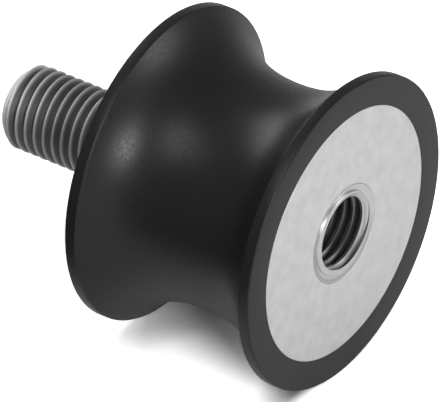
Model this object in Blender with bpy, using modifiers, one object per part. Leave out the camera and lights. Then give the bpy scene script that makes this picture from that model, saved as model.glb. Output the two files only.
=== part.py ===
"""Waisted rubber buffer with a tapped bush at one end and a threaded stud at the other.

The axis is +Z. The tapped end face lies on z = 0, the stud points up. Units are metres.
"""

import math

import bmesh
import bpy
from mathutils import Vector

# Rubber body
BODY_DIAMETER = 0.060
BODY_HEIGHT = 0.040
WAIST_DIAMETER = 0.0438
WAIST_BOW_RADIUS = 0.038
WAIST_STEPS = 16
RIM_WIDTH = 0.0022
RIM_EDGE_ROUND = 0.0003
RUBBER_COVER = 0.0057

# Steel end plates
PLATE_THICKNESS = 0.003
PLATE_EDGE_BREAK = 0.0001

# Standard 60 degree metric thread, shared by the bush and the stud
THREAD_DIAMETER = 0.016
THREAD_PITCH = 0.002
FLANK_ANGLE = math.radians(30)

# Threaded bush
BUSH_SPIGOT_WALL = 0.0015
BUSH_SHOULDER = 0.0025
BUSH_EDGE_BREAK = 0.0005
BUSH_THREAD_DEPTH = 0.012
BUSH_RELIEF_LENGTH = 0.0015
BUSH_RELIEF_DEPTH = 0.0002
BUSH_END_WALL = 0.002
BORE_POINT_ANGLE = math.radians(118)
BORE_EDGE_BREAK = 0.0001
LIP_OFFSET = 0.0001
LIP_EDGE_BREAK = 0.00015
STAKE_FLOOR_OFFSET = 0.00022
STAKE_DEPTH = 0.00036
BUSH_TURN = math.radians(75)

# Headed stud
STUD_LENGTH = 0.031
STUD_CHAMFER = 0.002
STUD_NECK_LENGTH = 0.0016
STUD_NECK_DEPTH = 0.0002
STUD_HEAD_OVERHANG = 0.004
STUD_HEAD_THICKNESS = 0.005
STUD_HEAD_ROUND = 0.0008
STUD_TURN = math.radians(113)

# Clearance left between a piece and the piece that it seats in
BOND_GAP = 0.0003

BODY_SEGMENTS = 60
THREAD_SEGMENTS = 32
ARC_STEPS = 3
MERGE_DISTANCE = 0.000005
SHARP_ANGLE = math.radians(32)

# Sizes that follow from the ones above
BODY_RADIUS = BODY_DIAMETER / 2
WAIST_RADIUS = WAIST_DIAMETER / 2
PLATE_RADIUS = BODY_RADIUS - RUBBER_COVER

THREAD_RADIUS = THREAD_DIAMETER / 2
THREAD_TRIANGLE = THREAD_PITCH / (2 * math.tan(FLANK_ANGLE))
PITCH_RADIUS = THREAD_RADIUS - THREAD_TRIANGLE * 3 / 8
STUD_ROOT_RADIUS = THREAD_RADIUS - THREAD_TRIANGLE * 17 / 24
BORE_RADIUS = THREAD_RADIUS - THREAD_TRIANGLE * 5 / 8
THREAD_OVERCUT = THREAD_TRIANGLE / 16

SPIGOT_RADIUS = THREAD_RADIUS + BUSH_SPIGOT_WALL
BUSH_RADIUS = SPIGOT_RADIUS + BUSH_SHOULDER
RELIEF_RADIUS = THREAD_RADIUS + BUSH_RELIEF_DEPTH
LIP_RADIUS = THREAD_RADIUS + LIP_OFFSET
STAKE_FLOOR_RADIUS = THREAD_RADIUS + STAKE_FLOOR_OFFSET
BUSH_RELIEF_END = BUSH_THREAD_DEPTH + BUSH_RELIEF_LENGTH
BORE_POINT = BUSH_RELIEF_END + BORE_RADIUS / math.tan(BORE_POINT_ANGLE / 2)
BUSH_LENGTH = BORE_POINT + BUSH_END_WALL

STUD_HEAD_RADIUS = THREAD_RADIUS + STUD_HEAD_OVERHANG
STUD_HEAD_TOP = BODY_HEIGHT - PLATE_THICKNESS - BOND_GAP
STUD_HEAD_BOTTOM = STUD_HEAD_TOP - STUD_HEAD_THICKNESS
STUD_TIP = BODY_HEIGHT + STUD_LENGTH


def clear_scene():
    for obj in list(bpy.data.objects):
        bpy.data.objects.remove(obj, do_unlink=True)


def new_collection(name):
    collection = bpy.data.collections.new(name)
    bpy.context.scene.collection.children.link(collection)
    return collection


def new_material(name, colour, metallic, roughness):
    material = bpy.data.materials.new(name)
    material.use_nodes = True
    shader = material.node_tree.nodes["Principled BSDF"]
    shader.inputs["Base Color"].default_value = (*colour, 1)
    shader.inputs["Metallic"].default_value = metallic
    shader.inputs["Roughness"].default_value = roughness
    material.diffuse_color = (*colour, 1)
    return material


def corner_arc(before, corner, after, radius):
    """Points of the fillet that rounds a profile's corner, from one tangent point to the other."""
    inward = (before - corner).normalized()
    outward = (after - corner).normalized()
    half_angle = inward.angle(outward) / 2
    setback = radius / math.tan(half_angle)
    centre = corner + (inward + outward).normalized() * radius / math.sin(half_angle)
    start = (corner + inward * setback - centre).normalized()
    end = (corner + outward * setback - centre).normalized()
    return [centre + start.slerp(end, step / ARC_STEPS) * radius for step in range(ARC_STEPS + 1)]


def profile_points(corners):
    """Turns (radius, height) corners into points. A third value rounds that corner."""
    places = [Vector(corner[:2]) for corner in corners]
    points = []
    for index, corner in enumerate(corners):
        if len(corner) == 3:
            points += corner_arc(places[index - 1], places[index], places[index + 1], corner[2])
        else:
            points.append(places[index])
    return points


def wire_object(name, points, collection, closed=False):
    count = len(points)
    edges = [(index, index + 1) for index in range(count - 1)]
    if closed:
        edges.append((count - 1, 0))
    mesh = bpy.data.meshes.new(name)
    mesh.from_pydata([(radius, 0, height) for radius, height in points], edges, [])
    obj = bpy.data.objects.new(name, mesh)
    collection.objects.link(obj)
    return obj


def apply_modifiers(obj):
    graph = bpy.context.evaluated_depsgraph_get()
    mesh = bpy.data.meshes.new_from_object(obj.evaluated_get(graph))
    mesh.name = obj.name
    obj.modifiers.clear()
    obj.data = mesh


def shade(obj):
    obj.data.shade_smooth()
    obj.data.set_sharp_from_angle(angle=SHARP_ANGLE)


def turned(name, corners, segments, collection, ring=False):
    """A solid of revolution. Its profile runs down the outside, from the axis to the axis or round a ring."""
    obj = wire_object(name, profile_points(corners), collection, closed=ring)
    screw = obj.modifiers.new("Turn", "SCREW")
    screw.steps = segments
    screw.render_steps = segments
    screw.use_merge_vertices = True
    screw.merge_threshold = MERGE_DISTANCE
    apply_modifiers(obj)
    shade(obj)
    return obj


def thread_groove(name, inner_radius, outer_radius, lean, start, end, collection):
    """The closed helix that a threading tool sweeps, a trapezoid with 60 degrees between its sides.

    lean is 1 for a groove that widens away from the axis, and -1 for one that narrows.
    """

    def half_width(radius):
        return THREAD_PITCH / 4 + lean * (radius - PITCH_RADIUS) * math.tan(FLANK_ANGLE)

    inner_half = half_width(inner_radius)
    outer_half = half_width(outer_radius)
    corners = [
        (inner_radius, start - inner_half),
        (inner_radius, start + inner_half),
        (outer_radius, start + outer_half),
        (outer_radius, start - outer_half),
    ]
    obj = wire_object(name, corners, collection, closed=True)
    screw = obj.modifiers.new("Helix", "SCREW")
    screw.steps = THREAD_SEGMENTS
    screw.render_steps = THREAD_SEGMENTS
    screw.screw_offset = THREAD_PITCH
    screw.iterations = math.ceil((end - start) / THREAD_PITCH)
    apply_modifiers(obj)
    close_ends(obj.data)
    obj.rotation_euler.z = math.pi / THREAD_SEGMENTS
    obj.display_type = "WIRE"
    obj.hide_render = True
    return obj


def close_ends(mesh):
    shape = bmesh.new()
    shape.from_mesh(mesh)
    bmesh.ops.holes_fill(shape, edges=[edge for edge in shape.edges if edge.is_boundary])
    bmesh.ops.recalc_face_normals(shape, faces=shape.faces)
    shape.to_mesh(mesh)
    shape.free()


def cut(obj, cutter):
    boolean = obj.modifiers.new("Thread", "BOOLEAN")
    boolean.operation = "DIFFERENCE"
    boolean.object = cutter
    apply_modifiers(obj)
    shade(obj)


def waist_corners():
    """The hollow flank between the rims: a shallow bow that steepens into a flare at each rim."""
    half_span = BODY_HEIGHT / 2 - RIM_WIDTH
    bow_at_rim = half_span**2 / (2 * WAIST_BOW_RADIUS)
    flare_at_rim = BODY_RADIUS - WAIST_RADIUS - bow_at_rim
    corners = []
    for step in range(WAIST_STEPS + 1):
        offset = half_span * (1 - 2 * step / WAIST_STEPS)
        bow = offset**2 / (2 * WAIST_BOW_RADIUS)
        flare = flare_at_rim * (offset / half_span) ** 4
        corners.append((WAIST_RADIUS + bow + flare, BODY_HEIGHT / 2 + offset))
    return corners


def rubber_body(collection):
    """One moulding round both plates, the bush and the stud's head, with a thin rim at each end."""
    plate_recess = PLATE_RADIUS + BOND_GAP
    head_recess = STUD_HEAD_RADIUS + BOND_GAP
    bush_recess = BUSH_RADIUS + BOND_GAP
    head_floor = STUD_HEAD_BOTTOM - BOND_GAP
    bush_floor = BUSH_LENGTH + BOND_GAP
    upper_seat = BODY_HEIGHT - PLATE_THICKNESS - BOND_GAP
    lower_seat = PLATE_THICKNESS + BOND_GAP
    corners = [
        (0, head_floor),
        (head_recess, head_floor),
        (head_recess, upper_seat),
        (plate_recess, upper_seat),
        (plate_recess, BODY_HEIGHT),
        (BODY_RADIUS, BODY_HEIGHT, RIM_EDGE_ROUND),
        *waist_corners(),
        (BODY_RADIUS, 0, RIM_EDGE_ROUND),
        (plate_recess, 0),
        (plate_recess, lower_seat),
        (bush_recess, lower_seat),
        (bush_recess, bush_floor),
        (0, bush_floor),
    ]
    body = turned("rubber_body", corners, BODY_SEGMENTS, collection)
    body.data.materials.append(new_material("black_rubber", (0.010, 0.010, 0.0105), metallic=0, roughness=0.4))


def end_plate(name, hole_radius, outer_face, collection, material):
    """A round steel washer. outer_face is the height of its bare face, which has broken edges."""
    inner_face = abs(outer_face - PLATE_THICKNESS)
    facing = 1 if outer_face > inner_face else -1
    edge_height = outer_face - facing * PLATE_EDGE_BREAK
    section = [
        (hole_radius + PLATE_EDGE_BREAK, outer_face),
        (PLATE_RADIUS - PLATE_EDGE_BREAK, outer_face),
        (PLATE_RADIUS, edge_height),
        (PLATE_RADIUS, inner_face),
        (hole_radius, inner_face),
        (hole_radius, edge_height),
    ]
    if facing < 0:
        section.reverse()
    plate = turned(name, section, BODY_SEGMENTS, collection, ring=True)
    plate.data.materials.append(material)


def threaded_bush(collection, cutters, material):
    """A shouldered bush whose spigot fills the plate's hole. A dished ring round its lip stakes it there."""
    shoulder = PLATE_THICKNESS + BOND_GAP
    corners = [
        (0, BUSH_LENGTH),
        (BUSH_RADIUS, BUSH_LENGTH, BUSH_EDGE_BREAK),
        (BUSH_RADIUS, shoulder),
        (SPIGOT_RADIUS, shoulder),
        (SPIGOT_RADIUS, 0),
        (STAKE_FLOOR_RADIUS, STAKE_DEPTH),
        (LIP_RADIUS, LIP_EDGE_BREAK),
        (LIP_RADIUS - LIP_EDGE_BREAK, 0),
        (BORE_RADIUS + BORE_EDGE_BREAK, 0),
        (BORE_RADIUS, BORE_EDGE_BREAK),
        (BORE_RADIUS, BUSH_THREAD_DEPTH),
        (RELIEF_RADIUS, BUSH_THREAD_DEPTH),
        (RELIEF_RADIUS, BUSH_RELIEF_END),
        (BORE_RADIUS, BUSH_RELIEF_END),
        (0, BORE_POINT),
    ]
    bush = turned("threaded_bush", corners, THREAD_SEGMENTS, collection)
    groove = thread_groove(
        "bush_thread_groove",
        BORE_RADIUS - THREAD_OVERCUT,
        THREAD_RADIUS,
        lean=-1,
        start=-THREAD_PITCH,
        end=BUSH_THREAD_DEPTH + BUSH_RELIEF_LENGTH / 2 - THREAD_PITCH,
        collection=cutters,
    )
    cut(bush, groove)
    bush.rotation_euler.z = BUSH_TURN
    bush.data.materials.append(material)


def stud(collection, cutters, material):
    """A headed stud. Its head sits behind the plate, and a neck ends the thread above the plate."""
    neck_radius = STUD_ROOT_RADIUS - STUD_NECK_DEPTH
    neck_top = BODY_HEIGHT + STUD_NECK_LENGTH
    corners = [
        (0, STUD_TIP),
        (THREAD_RADIUS - STUD_CHAMFER, STUD_TIP),
        (THREAD_RADIUS, STUD_TIP - STUD_CHAMFER),
        (THREAD_RADIUS, neck_top + THREAD_RADIUS - neck_radius),
        (neck_radius, neck_top),
        (neck_radius, BODY_HEIGHT),
        (THREAD_RADIUS, BODY_HEIGHT),
        (THREAD_RADIUS, STUD_HEAD_TOP),
        (STUD_HEAD_RADIUS, STUD_HEAD_TOP),
        (STUD_HEAD_RADIUS, STUD_HEAD_BOTTOM, STUD_HEAD_ROUND),
        (0, STUD_HEAD_BOTTOM),
    ]
    shank = turned("stud", corners, THREAD_SEGMENTS, collection)
    groove = thread_groove(
        "stud_thread_groove",
        STUD_ROOT_RADIUS,
        THREAD_RADIUS + THREAD_OVERCUT,
        lean=1,
        start=BODY_HEIGHT + STUD_NECK_LENGTH / 2,
        end=STUD_TIP + THREAD_PITCH,
        collection=cutters,
    )
    cut(shank, groove)
    shank.rotation_euler.z = STUD_TURN
    shank.data.materials.append(material)


def build():
    clear_scene()
    parts = new_collection("rubber_buffer")
    cutters = new_collection("thread_grooves")
    plate_steel = new_material("plate_steel", (0.69, 0.69, 0.685), metallic=1, roughness=0.48)
    thread_steel = new_material("thread_steel", (0.58, 0.58, 0.575), metallic=1, roughness=0.35)
    rubber_body(parts)
    end_plate("tapped_end_plate", SPIGOT_RADIUS + BOND_GAP, 0, parts, plate_steel)
    end_plate("stud_end_plate", THREAD_RADIUS + BOND_GAP, BODY_HEIGHT, parts, plate_steel)
    threaded_bush(parts, cutters, thread_steel)
    stud(parts, cutters, thread_steel)


build()
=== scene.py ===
import math

import bmesh
import bpy
from mathutils import Matrix, Vector


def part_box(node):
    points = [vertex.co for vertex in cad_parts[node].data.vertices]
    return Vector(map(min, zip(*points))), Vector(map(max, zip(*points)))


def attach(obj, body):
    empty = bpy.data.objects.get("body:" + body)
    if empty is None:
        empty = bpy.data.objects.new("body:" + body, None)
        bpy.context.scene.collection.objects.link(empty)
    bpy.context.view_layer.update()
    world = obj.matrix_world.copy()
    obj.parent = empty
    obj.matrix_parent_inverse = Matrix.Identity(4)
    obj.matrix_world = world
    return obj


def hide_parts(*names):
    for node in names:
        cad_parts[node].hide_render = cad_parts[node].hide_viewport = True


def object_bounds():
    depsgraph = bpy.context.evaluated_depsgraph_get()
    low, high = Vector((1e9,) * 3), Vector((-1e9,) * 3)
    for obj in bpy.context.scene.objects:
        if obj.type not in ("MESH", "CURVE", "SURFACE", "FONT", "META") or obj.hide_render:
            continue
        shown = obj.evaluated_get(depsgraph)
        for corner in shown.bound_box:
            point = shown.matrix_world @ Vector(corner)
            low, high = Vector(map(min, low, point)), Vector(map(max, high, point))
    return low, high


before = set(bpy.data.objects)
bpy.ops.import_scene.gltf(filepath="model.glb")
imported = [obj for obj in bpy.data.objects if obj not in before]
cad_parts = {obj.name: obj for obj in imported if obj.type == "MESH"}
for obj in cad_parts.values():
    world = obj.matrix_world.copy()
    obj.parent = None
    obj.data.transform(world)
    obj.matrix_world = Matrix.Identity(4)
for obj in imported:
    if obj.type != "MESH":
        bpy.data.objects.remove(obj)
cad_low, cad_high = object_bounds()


# Rubber body. Black natural rubber, moulded and vulcanised round both steel plates in one shot.
# Its waist is hollow so that it gives evenly, and a thin square rim stands at each end.
# The mould leaves a fine satin skin and a small rounded edge on both sides of each rim.

body_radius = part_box("rubber_body")[1].x
body_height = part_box("rubber_body")[1].z
waist_radius = 0.0219
waist_bow_radius = 0.038
flare_power = 4
rim_width = 0.0022
rim_round = 0.0003
rubber_cover = 0.0057
plate_thickness = 0.003
plate_radius = body_radius - rubber_cover
bond_line = 0.00003
head_pocket_radius = 0.0123
head_pocket_floor = 0.0314
bush_pocket_radius = 0.0123
bush_pocket_end = 0.02
body_sides = 240
flank_steps = 36
weld_distance = 0.000002
corner_reach = 0.00001


def draw_section(name, points):
    """A section drawn in the XZ plane, one vertex pulled out of the last. It is left open, in edit mode."""
    bpy.ops.object.select_all(action="DESELECT")
    bpy.ops.mesh.primitive_plane_add()
    piece = bpy.context.object
    piece.name = name
    piece.data.name = name
    bpy.ops.object.mode_set(mode="EDIT")
    bpy.ops.mesh.merge(type="CENTER")
    here = Vector((points[0][0], 0, points[0][1]))
    bpy.ops.transform.translate(value=here)
    for radius, height in points[1:]:
        there = Vector((radius, 0, height))
        bpy.ops.mesh.extrude_region_move(TRANSFORM_OT_translate={"value": there - here})
        here = there
    return piece


def round_corners(piece, corners, size, steps=4):
    """Rounds the section's corners that lie at these places, each given as (radius, height)."""
    mesh = bmesh.from_edit_mesh(piece.data)
    for vertex in mesh.verts:
        vertex.select = any(
            math.hypot(vertex.co.x - radius, vertex.co.z - height) < corner_reach
            for radius, height in corners
        )
    mesh.select_flush_mode()
    bmesh.update_edit_mesh(piece.data)
    bpy.ops.mesh.bevel(offset=size, offset_type="OFFSET", segments=steps, affect="VERTICES")


def spin_section(piece, sides):
    """Spins the drawn section once round the axis, closes the seam and turns the faces outward."""
    bpy.ops.mesh.select_all(action="SELECT")
    bpy.ops.mesh.spin(steps=sides, angle=2 * math.pi, center=(0, 0, 0), axis=(0, 0, 1))
    bpy.ops.mesh.select_all(action="SELECT")
    bpy.ops.mesh.remove_doubles(threshold=weld_distance)
    bpy.ops.mesh.normals_make_consistent(inside=False)
    bpy.ops.object.mode_set(mode="OBJECT")


def smooth(piece, degrees=30):
    """Shades the piece smooth, apart from the edges that turn by more degrees than this."""
    bpy.ops.object.select_all(action="DESELECT")
    bpy.context.view_layer.objects.active = piece
    piece.select_set(True)
    bpy.ops.object.shade_smooth_by_angle(angle=math.radians(degrees))


def finish_piece(piece, material, node):
    """Gives the piece its material, and puts it in the place of its node."""
    piece.data.materials.clear()
    piece.data.materials.append(material)
    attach(piece, "root")
    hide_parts(node)


half_span = body_height / 2 - rim_width
bow_at_rim = half_span**2 / (2 * waist_bow_radius)
flare_at_rim = body_radius - waist_radius - bow_at_rim
flank = []
for row in range(2 * flank_steps + 1):
    offset = half_span * (1 - row / flank_steps)
    bow = offset**2 / (2 * waist_bow_radius)
    flare = flare_at_rim * (offset / half_span) ** flare_power
    flank.append((waist_radius + bow + flare, body_height / 2 + offset))

pocket_radius = plate_radius + bond_line
upper_seat = body_height - plate_thickness - bond_line
lower_seat = plate_thickness + bond_line
rubber_body = draw_section(
    "moulded_rubber_body",
    [
        (0, head_pocket_floor),
        (head_pocket_radius, head_pocket_floor),
        (head_pocket_radius, upper_seat),
        (pocket_radius, upper_seat),
        (pocket_radius, body_height),
        (body_radius, body_height),
        *flank,
        (body_radius, 0),
        (pocket_radius, 0),
        (pocket_radius, lower_seat),
        (bush_pocket_radius, lower_seat),
        (bush_pocket_radius, bush_pocket_end),
        (0, bush_pocket_end),
    ],
)
round_corners(rubber_body, [(body_radius, 0), (body_radius, body_height)], rim_round)
round_corners(rubber_body, [flank[0], flank[-1]], rim_round / 2)
spin_section(rubber_body, body_sides)
smooth(rubber_body, 35)

rubber_black = (0.0085, 0.0085, 0.009)
rubber_bloom = (0.0105, 0.0105, 0.011)
rubber_roughness = (0.34, 0.43)
noise_span = (0.3, 0.7)


def new_material(name):
    """A new material with its shader, and the Object coordinates that place its textures."""
    material = bpy.data.materials.new(name)
    material.use_nodes = True
    nodes = material.node_tree.nodes
    place = nodes.new("ShaderNodeTexCoord").outputs["Object"]
    return material, nodes["Principled BSDF"], place


def feed(source, target):
    """Joins one node's output to another's input."""
    target.id_data.links.new(source, target)


def noise(place, scale, detail, stretch=(1, 1, 1)):
    """A noise at this place. scale is its waves in a metre."""
    nodes = place.id_data.nodes
    mapping = nodes.new("ShaderNodeMapping")
    mapping.inputs["Scale"].default_value = stretch
    feed(place, mapping.inputs["Vector"])
    texture = nodes.new("ShaderNodeTexNoise")
    texture.inputs["Scale"].default_value = scale
    texture.inputs["Detail"].default_value = detail
    feed(mapping.outputs["Vector"], texture.inputs["Vector"])
    return texture.outputs["Fac"]


def blend_values(source, low, high, span=noise_span):
    """Goes from low to high as the source goes through the span, and stays there past its ends."""
    node = source.id_data.nodes.new("ShaderNodeMapRange")
    node.inputs["From Min"].default_value = span[0]
    node.inputs["From Max"].default_value = span[1]
    node.inputs["To Min"].default_value = low
    node.inputs["To Max"].default_value = high
    feed(source, node.inputs["Value"])
    return node.outputs["Result"]


def blend_colours(source, first, second):
    """Turns a noise into a colour between two."""
    ramp = source.id_data.nodes.new("ShaderNodeValToRGB")
    ramp.color_ramp.elements[0].position = noise_span[0]
    ramp.color_ramp.elements[0].color = (*first, 1)
    ramp.color_ramp.elements[1].position = noise_span[1]
    ramp.color_ramp.elements[1].color = (*second, 1)
    feed(source, ramp.inputs["Fac"])
    return ramp.outputs["Color"]


def bump(shader, height, depth):
    """Raises the surface by the height texture, by depth metres at most."""
    node = shader.id_data.nodes.new("ShaderNodeBump")
    node.inputs["Distance"].default_value = depth
    feed(height, node.inputs["Height"])
    feed(node.outputs["Normal"], shader.inputs["Normal"])


rubber, shader, place = new_material("satin_black_rubber")
shader.inputs["Specular IOR Level"].default_value = 0.36
skin = noise(place, scale=1900, detail=2)
cloud = noise(place, scale=60, detail=2)
feed(blend_colours(cloud, rubber_black, rubber_bloom), shader.inputs["Base Color"])
feed(blend_values(skin, *rubber_roughness), shader.inputs["Roughness"])
bump(shader, skin, depth=0.000009)
finish_piece(rubber_body, rubber, "rubber_body")


# Tapped end plate. A round blank of 3 mm steel, punched for the bush and zinc plated.
# It is flush with the rubber that grips its edge, and only its outer face is bare.
# The plating is dull and faintly cloudy, with the blank's fine rolled texture under it.

bush_spigot_radius = 0.0095
plate_fit = 0.00006
plate_edge_break = 0.00004
zinc_dull = (0.685, 0.685, 0.685)
zinc_pale = (0.775, 0.775, 0.775)
zinc_roughness = (0.42, 0.54)


def make_plate(name, hole_radius, bare_face, facing):
    """A washer. facing is -1 where its bare face looks down the axis, and 1 where it looks up."""
    inner_face = bare_face - facing * plate_thickness
    edge = bare_face - facing * plate_edge_break
    plate = draw_section(
        name,
        [
            (hole_radius + plate_edge_break, bare_face),
            (plate_radius - plate_edge_break, bare_face),
            (plate_radius, edge),
            (plate_radius, inner_face),
            (hole_radius, inner_face),
            (hole_radius, edge),
            (hole_radius + plate_edge_break, bare_face),
        ],
    )
    spin_section(plate, body_sides)
    smooth(plate)
    return plate


tapped_plate = make_plate("tapped_end_plate_blank", bush_spigot_radius + plate_fit, 0, -1)

plated, shader, place = new_material("dull_zinc_plate")
shader.inputs["Metallic"].default_value = 1
rolled = noise(place, scale=500, detail=4, stretch=(1, 1.4, 1))
mottle = noise(place, scale=320, detail=4)
feed(blend_colours(mottle, zinc_dull, zinc_pale), shader.inputs["Base Color"])
feed(blend_values(rolled, *zinc_roughness), shader.inputs["Roughness"])
bump(shader, rolled, depth=0.00002)
finish_piece(tapped_plate, plated, "tapped_end_plate")


# Threaded bush. Turned steel with a shoulder behind the plate and a spigot through its hole.
# A pressed ring in its face stakes it there, and leaves a rounded bead round the mouth.
# The blind bore has an M16 thread, a relief below it and the point that the drill left.

thread_radius = 0.008
thread_pitch = 0.002
thread_sides = 96
flank_angle = math.radians(30)
thread_triangle = thread_pitch / (2 * math.tan(flank_angle))
pitch_radius = thread_radius - thread_triangle * 3 / 8
bore_radius = thread_radius - thread_triangle * 5 / 8
bush_radius = 0.012
bush_edge_round = 0.0005
bush_shoulder = plate_thickness + bond_line
bush_thread_end = 0.012
bush_thread_runout = 0.00075
bush_relief_end = 0.0135
bush_relief_radius = 0.0082
drill_half_angle = math.radians(59)
bore_point = bush_relief_end + bore_radius / math.tan(drill_half_angle)
bush_floor_thickness = 0.002
bush_end = bore_point + bush_floor_thickness
bush_turn = math.radians(75)
spigot_recess = 0.00002
lip_radius = 0.0081
lip_round = 0.00022
stake_floor_radius = 0.00822
stake_floor_round = 0.00003
stake_depth = 0.00036
mouth_break = 0.0001


def groove_half_width(radius, lean):
    """Half the thread groove's width here. lean is 1 where it widens outward, and -1 where inward."""
    return thread_pitch / 4 + lean * (radius - pitch_radius) * math.tan(flank_angle)


def helical_cutter(name, section, start, end):
    """Winds a closed section up the axis, one pitch a turn, and closes the two ends."""
    cutter = draw_section(name, [(radius, height + start) for radius, height in section + section[:1]])
    bpy.ops.mesh.select_all(action="SELECT")
    bpy.ops.mesh.remove_doubles(threshold=weld_distance)
    bpy.ops.object.mode_set(mode="OBJECT")
    bpy.ops.object.modifier_add(type="SCREW")
    helix = cutter.modifiers[-1]
    helix.steps = thread_sides
    helix.render_steps = thread_sides
    helix.screw_offset = thread_pitch
    helix.iterations = math.ceil((end - start) / thread_pitch)
    bpy.ops.object.modifier_apply(modifier=helix.name)
    bpy.ops.object.mode_set(mode="EDIT")
    bpy.ops.mesh.select_mode(type="EDGE")
    bpy.ops.mesh.select_all(action="DESELECT")
    bpy.ops.mesh.select_non_manifold()
    bpy.ops.mesh.fill_holes(sides=0)
    bpy.ops.mesh.select_all(action="SELECT")
    bpy.ops.mesh.normals_make_consistent(inside=False)
    bpy.ops.mesh.select_mode(type="VERT")
    bpy.ops.object.mode_set(mode="OBJECT")
    return cutter


def turn_piece(piece, angle):
    """Turns the finished mesh about the axis."""
    piece.data.transform(Matrix.Rotation(angle, 4, "Z"))


def cut_groove(piece, cutter):
    """Cuts the groove out. It is turned by half a side first, so that no facets coincide."""
    turn_piece(cutter, math.pi / thread_sides)
    bpy.ops.object.select_all(action="DESELECT")
    bpy.context.view_layer.objects.active = piece
    piece.select_set(True)
    bpy.ops.object.modifier_add(type="BOOLEAN")
    boolean = piece.modifiers[-1]
    boolean.operation = "DIFFERENCE"
    boolean.solver = "EXACT"
    boolean.object = cutter
    bpy.ops.object.modifier_apply(modifier=boolean.name)
    bpy.data.objects.remove(cutter)


bush = draw_section(
    "staked_threaded_bush",
    [
        (0, bush_end),
        (bush_radius, bush_end),
        (bush_radius, bush_shoulder),
        (bush_spigot_radius, bush_shoulder),
        (bush_spigot_radius, spigot_recess),
        (stake_floor_radius, stake_depth),
        (lip_radius, 0),
        (bore_radius + mouth_break, 0),
        (bore_radius, mouth_break),
        (bore_radius, bush_thread_end),
        (bush_relief_radius, bush_thread_end),
        (bush_relief_radius, bush_relief_end),
        (bore_radius, bush_relief_end),
        (0, bore_point),
    ],
)
round_corners(bush, [(bush_radius, bush_end)], bush_edge_round)
round_corners(bush, [(lip_radius, 0)], lip_round, steps=8)
round_corners(bush, [(stake_floor_radius, stake_depth)], stake_floor_round)
spin_section(bush, thread_sides)

inner_edge = bore_radius - thread_triangle / 16
bush_groove = helical_cutter(
    "bush_groove",
    [
        (inner_edge, -groove_half_width(inner_edge, -1)),
        (inner_edge, groove_half_width(inner_edge, -1)),
        (thread_radius, groove_half_width(thread_radius, -1)),
        (thread_radius, -groove_half_width(thread_radius, -1)),
    ],
    -thread_pitch,
    bush_thread_end + bush_thread_runout - thread_pitch,
)
cut_groove(bush, bush_groove)
turn_piece(bush, bush_turn)
smooth(bush)

# Painted light and shade in the bush's colour: the bore is painted dark as shade, its crests, first turn
# and mouth stay bright as lit, and one side of the stake dish is painted darker as shade.
bush_grey = (0.6, 0.6, 0.6)
bush_bright = (0.68, 0.68, 0.68)
bush_roughness = (0.29, 0.37)
bore_painted_shade = (0.23, 0.23, 0.23)
axis_up = (0, 0, 1)

# Where each painted tone fades, as radii and depths in metres, and how bright the crests and the shaded
# side stay.
lit_crest_fade = (0.007, 0.0076)
lit_crest_share = 0.5
lit_first_turn_fade = (0.007, 0.0079)
lit_first_turn_depth = (0.0012, 0.0024)
lit_mouth_depth = (0.0004, 0.0007)
dish_inner_fade = (0.0084, 0.009)
dish_outer_fade = (0.0091, 0.0095)
dish_edge_share = 0.35
shaded_side_direction = (-0.757, -0.654, 0)
shaded_side_fade = (-0.006, -0.001)
shaded_side_brightness = 0.5


def bare_steel(name, grey, bright, roughness):
    """Steel with fine marks round the axis. Its faintly tarnished colour is the last thing returned."""
    material, shader, place = new_material(name)
    shader.inputs["Metallic"].default_value = 1
    marks = noise(place, scale=300, detail=3, stretch=(1, 1, 14))
    tarnish = noise(place, scale=130, detail=3)
    feed(blend_values(marks, *roughness), shader.inputs["Roughness"])
    bump(shader, marks, depth=0.00001)
    return material, shader, place, blend_colours(tarnish, grey, bright)


def radius_from_axis(place):
    """The distance from the part's axis, in metres."""
    nodes = place.id_data.nodes
    flat = nodes.new("ShaderNodeVectorMath")
    flat.operation = "MULTIPLY"
    flat.inputs[1].default_value = (1, 1, 0)
    feed(place, flat.inputs[0])
    length = nodes.new("ShaderNodeVectorMath")
    length.operation = "LENGTH"
    feed(flat.outputs["Vector"], length.inputs[0])
    return length.outputs["Value"]


def along(place, direction):
    """The dot product of a place, or of a ray's direction, with this direction."""
    node = place.id_data.nodes.new("ShaderNodeVectorMath")
    node.operation = "DOT_PRODUCT"
    node.inputs[1].default_value = direction
    feed(place, node.inputs[0])
    return node.outputs["Value"]


def join_values(operation, first, second):
    node = first.id_data.nodes.new("ShaderNodeMath")
    node.operation = operation
    feed(first, node.inputs[0])
    feed(second, node.inputs[1])
    return node.outputs["Value"]


def larger(first, second):
    return join_values("MAXIMUM", first, second)


def product(first, second):
    return join_values("MULTIPLY", first, second)


def tinted(colour, share, other):
    """Keeps the colour where share is 1, and fades it to the other one where share is 0."""
    mix = colour.id_data.nodes.new("ShaderNodeMix")
    mix.data_type = "RGBA"
    feed(share, mix.inputs["Factor"])
    mix.inputs["A"].default_value = (*other, 1)
    feed(colour, mix.inputs["B"])
    return mix.outputs["Result"]


bush_steel, shader, place, bright = bare_steel("turned_bush_steel", bush_grey, bush_bright, bush_roughness)
from_axis = radius_from_axis(place)
depth = along(place, axis_up)
lit_crest = blend_values(from_axis, lit_crest_share, 0, lit_crest_fade)
lit_first_turn = product(
    blend_values(from_axis, 1, 0, lit_first_turn_fade),
    blend_values(depth, 1, 0, lit_first_turn_depth),
)
lit_mouth = larger(lit_first_turn, blend_values(depth, 1, 0, lit_mouth_depth))
shaded_dish = product(
    blend_values(from_axis, 0, 1, dish_inner_fade),
    blend_values(from_axis, 1, dish_edge_share, dish_outer_fade),
)
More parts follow.
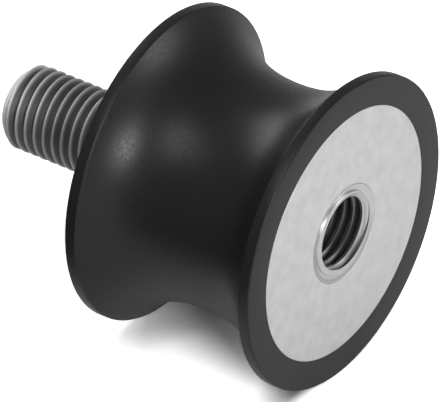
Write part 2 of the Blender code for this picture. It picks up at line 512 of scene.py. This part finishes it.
# Painted shade: one side of the stake dish is darker, and so is the bore deeper in.
shaded_side = blend_values(along(place, shaded_side_direction), 0, 1, shaded_side_fade)
painted_light_share = product(lit_mouth, blend_values(product(shaded_dish, shaded_side), 1, shaded_side_brightness, (0, 1)))
feed(tinted(bright, larger(lit_crest, painted_light_share), bore_painted_shade), shader.inputs["Base Color"])
finish_piece(bush, bush_steel, "threaded_bush")


# Stud end plate. The same punched and plated blank as at the tapped end, with a smaller hole.
# The stud's shank fills the hole, and the rubber grips the plate's edge and its inner face.

stud_plate = make_plate("stud_end_plate_blank", thread_radius + plate_fit, body_height, 1)
finish_piece(stud_plate, plated, "stud_end_plate")


# Stud. A headed steel stud whose head sits in the rubber behind the plate, with a plain shank through it.
# Outside stand a short neck and an M16 thread, rolled, so that its crests are rounded.
# A long chamfer leads a nut on at its tip.

stud_tip = cad_high.z
stud_tip_round = 0.0002
stud_chamfer = 0.002
stud_neck_end = 0.0416
stud_neck_relief = 0.0002
stud_root_radius = thread_radius - thread_triangle * 17 / 24
stud_neck_radius = stud_root_radius - stud_neck_relief
stud_head_radius = 0.012
stud_head_round = 0.0008
stud_head_gap = 0.0003
stud_head_thickness = 0.005
stud_head_top = body_height - plate_thickness - stud_head_gap
stud_head_bottom = stud_head_top - stud_head_thickness
stud_thread_start = body_height + 0.0008
stud_turn = math.radians(113)

stud = draw_section(
    "headed_stud",
    [
        (0, stud_tip),
        (thread_radius - stud_chamfer, stud_tip),
        (thread_radius, stud_tip - stud_chamfer),
        (thread_radius, stud_neck_end + thread_radius - stud_neck_radius),
        (stud_neck_radius, stud_neck_end),
        (stud_neck_radius, body_height),
        (thread_radius, body_height),
        (thread_radius, stud_head_top),
        (stud_head_radius, stud_head_top),
        (stud_head_radius, stud_head_bottom),
        (0, stud_head_bottom),
    ],
)
round_corners(stud, [(stud_head_radius, stud_head_bottom)], stud_head_round)
round_corners(stud, [(thread_radius - stud_chamfer, stud_tip)], stud_tip_round)
spin_section(stud, thread_sides)

crest_round = thread_triangle / 8
crest_steps = 6
crest_start = 75
crest_end = 30
root_round = 0.00015
cut_margin = 0.00002
lead_in_land = crest_round * 0.05

groove_side = []
for step in range(crest_steps + 1):
    slope = math.radians(crest_start - (crest_start - crest_end) * step / crest_steps)
    groove_side.append(
        (
            thread_radius - crest_round * (1 - math.sin(slope)),
            thread_pitch / 2 - crest_round * math.cos(slope),
        )
    )
root_corner_radius = stud_root_radius + root_round
groove_side.append((root_corner_radius, groove_half_width(root_corner_radius, 1)))
groove_side.append((stud_root_radius, groove_half_width(stud_root_radius, 1) - root_round))
lead_in = (thread_radius + cut_margin, thread_pitch / 2 - lead_in_land)
upper_side = [lead_in, *groove_side]
lower_side = [(radius, -height) for radius, height in reversed(upper_side)]
stud_groove = helical_cutter(
    "stud_groove",
    upper_side + lower_side,
    stud_thread_start,
    stud_tip + thread_pitch,
)
cut_groove(stud, stud_groove)
turn_piece(stud, stud_turn)
smooth(stud)

stud_grey = (0.64, 0.64, 0.64)
stud_bright = (0.74, 0.74, 0.74)
stud_roughness = (0.53, 0.63)
root_painted_shade = (0.2, 0.2, 0.2)
root_to_crest = (0.0075, 0.00793)
chamfer_painted_highlight = (0.95, 0.95, 0.95)
chamfer_foot = (stud_tip - 0.0024, stud_tip - 0.0018)

# Painted light and shade: the thread's roots are painted dark as shade, and the tip chamfer is painted
# nearly white as a highlight.
stud_steel, shader, place, bright = bare_steel("rolled_stud_steel", stud_grey, stud_bright, stud_roughness)
lit_crest = blend_values(radius_from_axis(place), 0, 1, root_to_crest)
below_chamfer_highlight = blend_values(along(place, axis_up), 1, 0, chamfer_foot)
threaded = tinted(bright, lit_crest, root_painted_shade)
feed(tinted(threaded, below_chamfer_highlight, chamfer_painted_highlight), shader.inputs["Base Color"])
finish_piece(stud, stud_steel, "stud")


# Floor. A sheet of white paper that faces +X, because the part lies on it with both of its rims.
# The camera sees it overexposed: only the part's shadow and a painted shade close under it stay grey.
# What the steel mirrors of it is a painted reflection, darker and brighter by place: painted shade on the
# stud's low side and a little low on the plate, and a painted highlight on the stud's chamfer. From below
# it is clear.

floor_size = 1.2
paper_white = (0.8, 0.8, 0.8)

# The photograph's right and up, in the part's own axes, and the way back to the camera.
photo_right = Vector((0, 0.5757, -0.8178))
photo_up = Vector((0.817, 0.4719, 0.332))
photo_back = photo_right.cross(photo_up)

# What the steel mirrors of it. The places are metres to the photograph's right, or behind the part.
stud_side = (-0.08, -0.05)
stud_side_tone = 0.1
plate_side = (0.005, 0.05)
plate_side_tones = (0.84, 0.94)
patch_distance = (0.08, 0.12)
patch_side = (-0.07, -0.055)
highlight_patch_gain = 12

# What the camera sees of it: painted shade close under the part, darkest toward the front rim, and none
# before its face or beside its rim.
overexposure = 2.25
contact_reach = 0.008
contact_openness = (0.4, 0.9)
contact_side = (-0.028, -0.012)
contact_tones = (1.4, 0.1)
face_line = (0.0008, 0.0032)
rim_line = (-0.004, 0.001)

bpy.ops.object.select_all(action="DESELECT")
bpy.ops.mesh.primitive_plane_add(
    size=floor_size, location=(-body_radius, 0, 0), rotation=(0, math.pi / 2, 0)
)
floor = bpy.context.object
floor.name = "floor"
bpy.ops.object.transform_apply(location=True, rotation=True, scale=True)


def seen_in_steel(ray):
    """1 for the rays that a surface mirrors or bends, and 0 for the others."""
    return larger(ray.outputs["Is Glossy Ray"], ray.outputs["Is Transmission Ray"])


def mix_shaders(share, off, on):
    """The shader off where share is 0, and on where it is 1."""
    mix = share.id_data.nodes.new("ShaderNodeMixShader")
    feed(share, mix.inputs["Fac"])
    feed(off, mix.inputs[1])
    feed(on, mix.inputs[2])
    return mix.outputs["Shader"]


paper, shader, place = new_material("white_table")
nodes = paper.node_tree.nodes
nodes.remove(shader)
across = along(place, photo_right)
away = along(place, -photo_back)

# Painted reflection: the paper that the steel mirrors is darker beside the stud and toward the plate, as
# painted shade, and many times brighter than white in a patch behind the stud, as a painted highlight on
# its chamfer.
painted_shade_beside_stud = blend_values(across, stud_side_tone, 1, stud_side)
painted_shade_before_plate = blend_values(across, *plate_side_tones, plate_side)
behind_stud = product(
    blend_values(away, 0, 1, patch_distance),
    blend_values(across, 1, 0, patch_side),
)
painted_highlight_patch = blend_values(behind_stud, 1, highlight_patch_gain, (0, 1))
painted_reflection_tone = product(product(painted_shade_beside_stud, painted_shade_before_plate), painted_highlight_patch)
ray = nodes.new("ShaderNodeLightPath")
paper_with_painted_reflection = tinted(painted_reflection_tone, seen_in_steel(ray), paper_white)

# Painted shade: the paper's colour darkens where ambient occlusion finds the part close by.
contact = nodes.new("ShaderNodeAmbientOcclusion")
contact.samples = 8
contact.inputs["Distance"].default_value = contact_reach
shade = blend_values(contact.outputs["AO"], 0, overexposure, contact_openness)
darkest_painted_shade = blend_values(across, *contact_tones, contact_side)
feed(darkest_painted_shade, shade.node.inputs["To Min"])
before_face = blend_values(along(place, axis_up), overexposure, 0, face_line)
beside_rim = blend_values(across, 0, overexposure, rim_line)
seen_paper = nodes.new("ShaderNodeMix")
seen_paper.data_type = "RGBA"
feed(ray.outputs["Is Camera Ray"], seen_paper.inputs["Factor"])
feed(paper_with_painted_reflection, seen_paper.inputs["A"])
feed(larger(shade, larger(before_face, beside_rim)), seen_paper.inputs["B"])

diffuse = nodes.new("ShaderNodeBsdfDiffuse")
clear = nodes.new("ShaderNodeBsdfTransparent")
side = nodes.new("ShaderNodeNewGeometry")
feed(seen_paper.outputs["Result"], diffuse.inputs["Color"])
feed(
    mix_shaders(side.outputs["Backfacing"], diffuse.outputs["BSDF"], clear.outputs["BSDF"]),
    nodes["Material Output"].inputs["Surface"],
)
floor.data.materials.append(paper)


# Light. A dim even studio with a white backdrop behind the part, and soft round lamps about it.
# The camera and the steel's reflections see the backdrop, and it leaves the part's lighting alone.

studio_strength = 0.233
backdrop_strength = 0.28
backdrop_edge = (0.5, 0.85)
lamp_distance = 0.7
aim_point = Vector((0, 0, 0.03))

world = bpy.data.worlds.new("studio")
bpy.context.scene.world = world
world.use_nodes = True
nodes = world.node_tree.nodes
nodes["Background"].inputs["Color"].default_value = (1, 1, 1, 1)
nodes["Background"].inputs["Strength"].default_value = studio_strength
white_wall = nodes.new("ShaderNodeBackground")
white_wall.inputs["Color"].default_value = (1, 1, 1, 1)
direction = nodes.new("ShaderNodeTexCoord").outputs["Generated"]
backdrop = blend_values(along(direction, -photo_back), 0, backdrop_strength, backdrop_edge)
ray = nodes.new("ShaderNodeLightPath")
wall_share = larger(ray.outputs["Is Camera Ray"], product(seen_in_steel(ray), backdrop))
feed(
    mix_shaders(wall_share, nodes["Background"].outputs["Background"], white_wall.outputs["Background"]),
    nodes["World Output"].inputs["Surface"],
)


def lamp(name, azimuth, elevation, diameter, power):
    """A round soft lamp. Azimuth 0 is on the camera's side of the part, and 90 at its right."""
    around = math.radians(azimuth)
    above = math.radians(elevation)
    toward = (
        photo_right * math.sin(around) * math.cos(above)
        + photo_back * math.cos(around) * math.cos(above)
        + photo_up * math.sin(above)
    )
    light = bpy.data.lights.new(name, "AREA")
    light.shape = "DISK"
    light.size = diameter
    light.energy = power
    holder = bpy.data.objects.new(name, light)
    holder.location = aim_point + toward * lamp_distance
    holder.rotation_mode = "QUATERNION"
    holder.rotation_quaternion = toward.to_track_quat("Z", "Y")
    holder.visible_camera = False
    bpy.context.scene.collection.objects.link(holder)


lamp("front_lamp", azimuth=15, elevation=-7, diameter=0.2, power=2.3)
lamp("rear_left_lamp", azimuth=-120, elevation=55, diameter=0.38, power=1.1)
lamp("right_lamp", azimuth=70, elevation=20, diameter=0.26, power=1.2)
lamp("upper_lamp", azimuth=-22, elevation=30, diameter=0.4, power=1.15)


# Camera. A long lens at the photograph's angle, 35 degrees above the floor.
# It stands where the aimed point falls on its pixel in the photograph.

picture_width = 440
picture_centre = (220, 201)
aim_pixel = (207, 176.9)
pixels_per_metre = 5575

camera = bpy.data.cameras.new("camera")
camera.lens = 1400
camera.clip_start = 0.1
camera.clip_end = 20
distance = camera.lens / camera.sensor_width * picture_width / pixels_per_metre
eye_position = (
    aim_point
    + photo_right * (picture_centre[0] - aim_pixel[0]) / pixels_per_metre
    + photo_up * (aim_pixel[1] - picture_centre[1]) / pixels_per_metre
    + photo_back * distance
)
eye_turn = Matrix((photo_right, photo_up, photo_back)).transposed()
eye = bpy.data.objects.new("camera", camera)
eye.matrix_world = Matrix.Translation(eye_position) @ eye_turn.to_4x4()
bpy.context.scene.collection.objects.link(eye)
bpy.context.scene.camera = eye
bpy.context.scene.view_settings.view_transform = "Standard"
